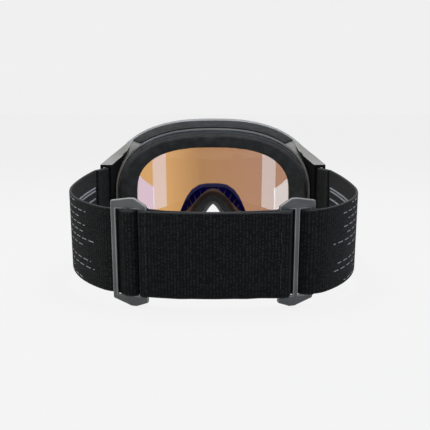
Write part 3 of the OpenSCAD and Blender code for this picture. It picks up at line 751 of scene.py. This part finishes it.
for side, sign in (("left", 1), ("right", -1)):
    strapPlace = onStrap if sign > 0 else mirrored(onStrap)
    armPlace = onArm if sign > 0 else mirrored(onArm)
    arm, buckle = side + "_arm", side + "_buckle"
    v = -over * sign
    seam, middle, atSlider = bendPlaces(sign)

    front = strip(side + "SideStrapFront", sidePath(v), strapPlace)
    cutAcross(front, route["sewnEnd"], True)
    cutAcross(front, splitAt, False)
    dress(front, printedCloth, "webbing", side + "_side_strap", backed=True)
    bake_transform(front)
    rear = strip(side + "SideStrapRear", sidePath(v), strapPlace)
    cutAcross(rear, splitAt, True)
    dress(rear, printedCloth, "webbing", side + "_side_strap", backed=True)
    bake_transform(rear)

    loop = strip(side + "ArmLoopStrap", armLoopPath(), armPlace)
    cutAcross(loop, route["sewnEnd"] - route["bond"], False)
    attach(dress(loop, webbingCloth, "webbing", side + "_strap_loop"), arm)
    through = strip(side + "SliderWeaveStrap", weavePath(sign), strapPlace, high=route["spread"])
    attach(dress(through, webbingCloth, "webbing", side + "_slider_weave"), buckle)
    end = strip(side + "SewnLoopStrap", endLoopPath(sign), strapPlace, high=route["spread"])
    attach(dress(end, webbingCloth, "webbing", side + "_end_loop"), buckle)
print("side straps made")

layers = {"Outer": (1, over, overTwo), "Inner": (-1, overTwo, over)}
rearTips = {}
for name, (side, leftEnd, rightEnd) in layers.items():
    path = backPath(side, leftEnd, rightEnd)
    halfway = len(path) // 2
    for hand, part, start in (("left", path[:halfway + 1], 0.0), ("right", path[halfway:], backRun / 2)):
        half = strip("rearStrap" + name + hand.title(), part, onStrap, start=start)
        dress(half, webbingCloth, "webbing", "rear_strap_" + name.lower(), backed=name == "Inner")
        tip = part[0] if hand == "left" else part[-1]
        rearTips[name + hand.title()] = tip
        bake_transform(half)
print("rear layers made")

# Silicone grip lines inside the straps, in millimetres from the strap's middle.
grips = {"at": (12.6, 10.4, 4.6, -4.6, -10.4, -12.6), "high": 1.0, "deep": 0.5, "step": 2.0, "lead": 3}
for side, sign in (("left", 1), ("right", -1)):
    strapPlace = onStrap if sign > 0 else mirrored(onStrap)
    seam, middle, atSlider = bendPlaces(sign)
    path = sidePath(-over * sign, thick / 2 + grips["deep"] / 2)
    for end, keepBack in (("Front", False), ("Rear", True)):
        lines = [strip(f"{side}Grip{end}{i}", path, strapPlace, high=grips["high"],
                       deep=grips["deep"], step=grips["step"], zAt=z, ribs=False)
                 for i, z in enumerate(grips["at"])]
        grip = joinAll(lines, side + "GripLines" + end)
        if not keepBack:
            cutAcross(grip, route["sewnEnd"] + grips["lead"], True)
        cutAcross(grip, splitAt, keepBack)
        dress(grip, siliconeLine, "silicone", side + "_grip_lines")
        if keepBack:
            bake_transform(grip)
        else:
            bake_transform(grip)
print("grip lines made")

air = {"shrink": 0.7, "pressure": 4, "frames": 20}


# Air pressure rounds a pad a little, from a slightly smaller shape, as far as the cap allows.
def swell(pad, cap):
    shrink = pad.modifiers.new("shrink", "DISPLACE")
    shrink.strength = -air["shrink"] * cap * mm
    shrink.mid_level = 0
    finishModifiers(pad)
    scene = bpy.context.scene
    cloth = pad.modifiers.new("swell", "CLOTH")
    cloth.settings.use_pressure = True
    cloth.settings.uniform_pressure_force = air["pressure"]
    cloth.settings.effector_weights.gravity = 0
    cloth.point_cache.frame_start, cloth.point_cache.frame_end = 1, air["frames"]
    for step in range(1, air["frames"] + 1):
        scene.frame_set(step)
    swollen = pad.evaluated_get(bpy.context.evaluated_depsgraph_get()).data
    moved = [vertex.co.copy() for vertex in swollen.vertices]
    pad.modifiers.remove(cloth)
    scene.frame_set(1)
    for vertex, place in zip(pad.data.vertices, moved):
        move = place - vertex.co
        vertex.co += move * min(1, cap * mm / max(move.length, 1e-9))
    pad.modifiers.new("soften", "SUBSURF").levels = 1
    pad.modifiers["soften"].render_levels = 1
    finishModifiers(pad)


foams = {  # the sizes of a voxel and of the swelling are in millimetres
    "base_foam_ring": {"name": "baseFoamPad", "skin": baseFoamSkin, "slot": "base_foam",
                       "voxel": 1.6, "swell": 0.5},
    "mid_foam_ring": {"name": "middleFoamPad", "skin": midFoamSkin, "slot": "mid_foam",
                      "voxel": 1.6, "swell": 0.8},
    "fleece_ring": {"name": "fleecePad", "skin": fleeceSkin, "slot": "fleece",
                    "voxel": 1.1, "swell": 0.5},
}
for node, foam in foams.items():
    pad = roundedCopy(node, foam["name"], "goggle", foam["skin"], edge=0)
    pad.data.remesh_voxel_size = foam["voxel"] * mm
    pickOnly(pad)
    bpy.ops.object.voxel_remesh()
    relax = pad.modifiers.new("relax", "SMOOTH")
    relax.iterations = 3
    relax.factor = 0.5
    finishModifiers(pad)
    swell(pad, foam["swell"])
    pickOnly(pad)
    bpy.ops.object.shade_smooth()
    setMaterial(pad, foam["skin"])

# Painted light: the fleece is coloured brown along the nose arch, at an even distance from its edge, for
# the amber light the lens throws on it, paler in the outer band.
lensLightBand = {"from": 3.2, "paleFrom": 6.2, "to": 10.0, "half": 34, "top": 56,
             "middle": 3}  # mm
fleece = bpy.data.objects["fleecePad"]
arch = [vertex.co for vertex in fleece.data.vertices
        if abs(vertex.co.x) < lensLightBand["half"] * mm and vertex.co.z < lensLightBand["top"] * mm
        and vertex.normal.z < -0.3
        and (abs(vertex.co.x) < lensLightBand["middle"] * mm or vertex.normal.x * vertex.co.x < 0)]
archTree = KDTree(len(arch))
for index, place in enumerate(arch):
    archTree.insert((place.x, 0, place.z), index)
archTree.balance()


def fromArch(at):
    return archTree.find((at.x * mm, 0, at.z * mm))[2] / mm


for skin, low, high in ((amberLightSkin, "from", "paleFrom"), (paleAmberLightSkin, "paleFrom", "to")):
    recolour(fleece, skin, lambda at, normal: normal.y > 0.2 and abs(at.x) < lensLightBand["half"]
             and at.z < lensLightBand["top"] and lensLightBand[low] < fromArch(at) <= lensLightBand[high])
for node, name in (("top_vent_foam", "topVentFoam"), ("bottom_vent_foam", "bottomVentFoam")):
    roundedCopy(node, name, "goggle", ventFoamSkin, edge=0.2)
print("foams made")

# Where a point of the image meets a surface in view. A miss takes the place nearest the ray.
def placeOn(pointName, carriers):
    x, y = imagePoints[pointName]
    ray = camera.matrix_world.to_quaternion() @ Vector((
        x - imageSize / 2, imageSize / 2 - y, -imageSize * view["lens"] / view["sensor"]))
    ray.normalize()
    corners, faces = [], []
    for piece in carriers:
        first = len(corners)
        corners += [vertex.co.copy() for vertex in piece.data.vertices]
        faces += [[first + i for i in face.vertices] for face in piece.data.polygons]
    tree = BVHTree.FromPolygons(corners, faces)
    start = camera.location
    place, normal = tree.ray_cast(start, ray)[:2]
    if place is None:
        nearest = min(corners, key=lambda corner: (corner - start).cross(ray).length)
        place, normal = tree.find_nearest(nearest)[:2]
    return place, normal, tree


# Lock stitches hold each sewn tail: a row of threads that dive into the webbing at both ends.
stitching = {"pitch": 3.0, "count": 15, "long": 2.2, "thread": 0.24, "high": 0.5}
bpy.ops.object.select_all(action="DESELECT")
bpy.ops.mesh.primitive_torus_add(major_radius=stitching["long"] / 2 * mm, major_segments=20,
                                 minor_radius=stitching["thread"] * mm, minor_segments=8,
                                 rotation=(math.radians(90), 0, 0))
stitch = bpy.context.object
bpy.ops.object.transform_apply(location=False, rotation=True, scale=False)
startEditing(stitch)
bpy.ops.mesh.bisect(plane_co=(0, 0, 0), plane_no=(0, 0, 1), use_fill=True, clear_inner=True)
bpy.ops.mesh.select_all(action="SELECT")
bpy.ops.transform.resize(value=(1, 1, stitching["high"]))
bpy.ops.mesh.normals_make_consistent(inside=False)
bpy.ops.object.mode_set(mode="OBJECT")
bpy.ops.object.shade_smooth()
strapUp = (onStrap(0, 0, 1) - onStrap(0, 0, 0)).normalized()
for hand, place in (("left", rearTips["OuterLeft"]), ("right", rearTips["OuterRight"])):
    at, facing, tree = placeOn(hand + "Stitches", [bpy.data.objects["rearStrapOuter" + hand.title()]])
    base, across = strapUp.dot(at - onStrap(0, 0, 0)), (stitching["count"] - 1) / 2
    row = []
    for i in range(stitching["count"]):
        wanted = at + strapUp * ((i - across) * stitching["pitch"] * mm - base)
        spot, facing = tree.find_nearest(wanted)[:2]
        axisX = (strapUp - facing * strapUp.dot(facing)).normalized()
        pickOnly(stitch)
        bpy.ops.object.duplicate()
        thread = bpy.context.object
        turned = Matrix((axisX, facing.cross(axisX), facing)).transposed().to_4x4()
        thread.data.transform(Matrix.Translation(spot) @ turned)
        row.append(thread)
    seam = joinAll(row, hand + "RearStitches")
    setMaterial(seam, sewingThread)
    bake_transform(seam)
bpy.data.objects.remove(stitch)
print("stitches made")

# Floor, world and lamps.
studio = {"paper": "#e8e8e8", "glow": "#f2f2f2", "glowShare": 0.96, "floorSize": 30.0,
          "light": "#f4f4f4", "lightStrength": 0.2, "backdrop": "#f0f0f0"}


# The greatest of the named kinds of ray, so 1 where the surface is seen by any of them.
def seenBy(tree, *kinds):
    rays = addNode(tree, "ShaderNodeLightPath")
    seen = rays.outputs[kinds[0]]
    for kind in kinds[1:]:
        seen = addMath(tree, "MAXIMUM", seen, rays.outputs[kind])
    return seen


bpy.ops.object.select_all(action="DESELECT")
bpy.ops.mesh.primitive_grid_add(x_subdivisions=4, y_subdivisions=4, size=studio["floorSize"],
                                location=(0, 0, 0))
floor = bpy.context.object
floor.name = "studioFloor"
paper = bpy.data.materials.new("seamless paper")
paper.use_nodes = True
tree = paper.node_tree
tree.nodes.clear()
seen = seenBy(tree, "Is Camera Ray", "Is Transmission Ray", "Is Glossy Ray")
share = addMath(tree, "MULTIPLY", seen, studio["glowShare"])
matte = addNode(tree, "ShaderNodeBsdfDiffuse", {"Color": linear(studio["paper"])})
glow = addNode(tree, "ShaderNodeEmission", {"Color": linear(studio["glow"]), "Strength": 1.0})
mixed = addNode(tree, "ShaderNodeMixShader", {0: share, 1: matte.outputs[0],
                                              2: glow.outputs[0]})
addNode(tree, "ShaderNodeOutputMaterial", {0: mixed.outputs[0]})
setMaterial(floor, paper)

world = bpy.data.worlds.new("studio")
bpy.context.scene.world = world
world.use_nodes = True
tree = world.node_tree
tree.nodes.clear()
lit = addNode(tree, "ShaderNodeBackground", {
    "Color": linear(studio["light"]), "Strength": studio["lightStrength"]})
shown = addNode(tree, "ShaderNodeBackground", {"Color": linear(studio["backdrop"]), "Strength": 1.0})
mixed = addNode(tree, "ShaderNodeMixShader", {
    0: seenBy(tree, "Is Camera Ray", "Is Transmission Ray"), 1: lit.outputs[0], 2: shown.outputs[0]})
addNode(tree, "ShaderNodeOutputWorld", {0: mixed.outputs[0]})

lamps = {
    "overhead": {"at": (0.0, -0.02, 0.75), "aim": (0, -0.02, 0.05), "size": (1.0, 0.8), "power": 13.0,
                 "tint": "#ffffff"},
    "leftCard": {"at": (0.633, 0.534, 0.232), "aim": (-0.0403, -0.089, 0.0576), "size": (0.18, 0.34),
                 "power": 0.56, "tint": "#cfefff"},
    "rightCard": {"at": (-0.627, 0.57, 0.232), "aim": (0.0446, -0.087, 0.0578), "size": (0.18, 0.34),
                  "power": 0.60, "tint": "#7cc2ff"},
    "leftLowCard": {"at": (0.706, 0.344, 0.258), "aim": (-0.058, -0.079, 0.04), "size": (0.235, 0.095),
                    "power": 0.3, "tint": "#cbf1ff", "roll": 10},
    "rightLowCard": {"at": (-0.691, 0.369, 0.258), "aim": (0.058, -0.079, 0.04), "size": (0.235, 0.095),
                     "power": 0.32, "tint": "#3f9cff", "roll": -10},
}
for name, lamp in lamps.items():
    bpy.ops.object.light_add(type="AREA", location=lamp["at"])
    light = bpy.context.object
    light.name = name
    light.data.shape = "RECTANGLE"
    light.data.size, light.data.size_y = lamp["size"]
    light.data.energy = lamp["power"]
    light.data.color = linear(lamp["tint"])[:3]
    turned = (Vector(lamp["aim"]) - light.location).to_track_quat("-Z", "Y")
    light.rotation_euler = (turned @ Quaternion((0, 0, 1), math.radians(lamp.get("roll", 0)))).to_euler()
bpy.context.scene.view_settings.view_transform = "Standard"
print("studio lit")

edgeBand = 0.7  # pixels: the points of an edge are those this near its outermost one

# What shows at each image point: a piece, the way its edge faces in the image and, where the
# edge is only part of it, how far from the middle and between which heights in millimetres.
showsAt = {
    "leftmost": ("leftSideStrapRear", (-1, 0)), "rightmost": ("rightSideStrapRear", (1, 0)),
    "rimTop": ("frameShell", (0, -1)), "sliderFoot": ("leftSliderShell", (0, 1)),
    "leftSliderPeak": ("leftSliderShell", (0, -1)), "rightSliderPeak": ("rightSliderShell", (0, -1)),
    "rightSliderFoot": ("rightSliderShell", (0, 1)), "eyeOpeningTop": ("fleecePad", (0, 1), 3, 70, 110),
    "noseApex": ("fleecePad", (0, 1), 3, 20, 60), "leftArmTop": ("leftOutriggerShell", (-1, -0.3)),
    "rightArmTop": ("rightOutriggerShell", (1, -0.3)),
    "rearLayerTop": ("rearStrapOuterLeft", (0, -1), 3, 0, 110),
    "rearLayerFoot": ("rearStrapOuterLeft", (0, 1), 3, 0, 110),
    "leftStitches": ("leftRearStitches", None), "rightStitches": ("rightRearStitches", None),
}


def inImage(place):
    seen = camera.matrix_world.inverted() @ place
    scale = imageSize * view["lens"] / view["sensor"] / -seen.z
    return imageSize / 2 + seen.x * scale, imageSize / 2 - seen.y * scale


def shownPoint(piece, way=None, half=1e4, low=-1e4, high=1e4):
    shown = [inImage(v.co) for v in bpy.data.objects[piece].data.vertices
             if abs(v.co.x) < half * mm and low * mm < v.co.z < high * mm]
    if way:
        reach = max(x * way[0] + y * way[1] for x, y in shown)
        shown = [(x, y) for x, y in shown if x * way[0] + y * way[1] > reach - edgeBand]
    return [sum(values) / len(values) for values in zip(*shown)]


offsets = {}
for name, (x, y) in imagePoints.items():
    try:
        shownX, shownY = shownPoint(*showsAt[name])
        offsets[name] = [round(shownX - x, 1), round(shownY - y, 1)]
    except (KeyError, ValueError, ZeroDivisionError):
        offsets[name] = None
